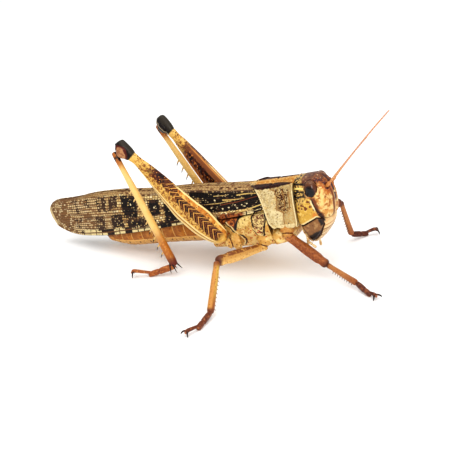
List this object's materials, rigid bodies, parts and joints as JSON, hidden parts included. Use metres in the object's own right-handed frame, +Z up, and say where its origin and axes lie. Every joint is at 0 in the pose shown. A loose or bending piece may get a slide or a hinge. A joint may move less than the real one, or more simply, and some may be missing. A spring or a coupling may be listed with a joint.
{
  "type": "grasshopper",
  "caption": "Adult locust grasshopper standing with folded mottled wings, raised hind knees, forward feelers and spined shanks, as a still life-size model",
  "frame": {"origin": "on the floor under the middle of the whole figure, feelers and feet included", "axes": "+X towards the head along the body, +Y to the animal's left, +Z up from the floor"},
  "size_m": [0.07, 0.0536, 0.0289],
  "materials": {
    "head_shell": "smooth dry cuticle, yellow and brown mottled",
    "mouth_shell": "smooth cuticle, cream with brown edges",
    "eye": "smooth glossy dark brown",
    "feeler": "fine ringed cuticle, orange at the root and paler outwards",
    "pronotum_shell": "finely pitted dry cuticle, cream with brown marks",
    "thorax_shell": "finely pitted cuticle, yellow-cream with dark dots and sutures",
    "abdomen_shell": "ringed cuticle, orange-brown with cream borders",
    "forewing": "thin leathery wing, tan with dark patches and a net of veins",
    "hindwing": "thin clear smoky wing, folded",
    "thigh_shell": "smooth cuticle, golden ochre with dark chevrons",
    "shank_shell": "smooth cuticle, cream-yellow to red-brown",
    "foot_shell": "smooth red-brown cuticle with dark claws"
  },
  "bodies": {
    "root": {"abdomen": "abdomen_shell", "abdomen_tip": "abdomen_shell", "antenna_left": "feeler", "antenna_right": "feeler", "clypeolabrum": "mouth_shell", "coxa_fore_left": "thorax_shell", "coxa_fore_right": "thorax_shell", "coxa_hind_left": "thorax_shell", "coxa_hind_right": "thorax_shell", "coxa_mid_left": "thorax_shell", "coxa_mid_right": "thorax_shell", "eye_left": "eye", "eye_right": "eye", "femur_fore_left": "thigh_shell", "femur_fore_right": "thigh_shell", "femur_hind_left": "thigh_shell", "femur_hind_right": "thigh_shell", "femur_mid_left": "thigh_shell", "femur_mid_right": "thigh_shell", "head": "head_shell", "hindwing_left": "hindwing", "hindwing_right": "hindwing", "labium": "mouth_shell", "mandible_left": "mouth_shell", "mandible_right": "mouth_shell", "pronotum": "pronotum_shell", "prosternum": "thorax_shell", "tarsus_fore_left": "foot_shell", "tarsus_fore_right": "foot_shell", "tarsus_hind_left": "foot_shell", "tarsus_hind_right": "foot_shell", "tarsus_mid_left": "foot_shell", "tarsus_mid_right": "foot_shell", "tegmen_left": "forewing", "tegmen_right": "forewing", "thorax": "thorax_shell", "tibia_fore_left": "shank_shell", "tibia_fore_right": "shank_shell", "tibia_hind_left": "shank_shell", "tibia_hind_right": "shank_shell", "tibia_mid_left": "shank_shell", "tibia_mid_right": "shank_shell"}
  },
  "joints": []
}
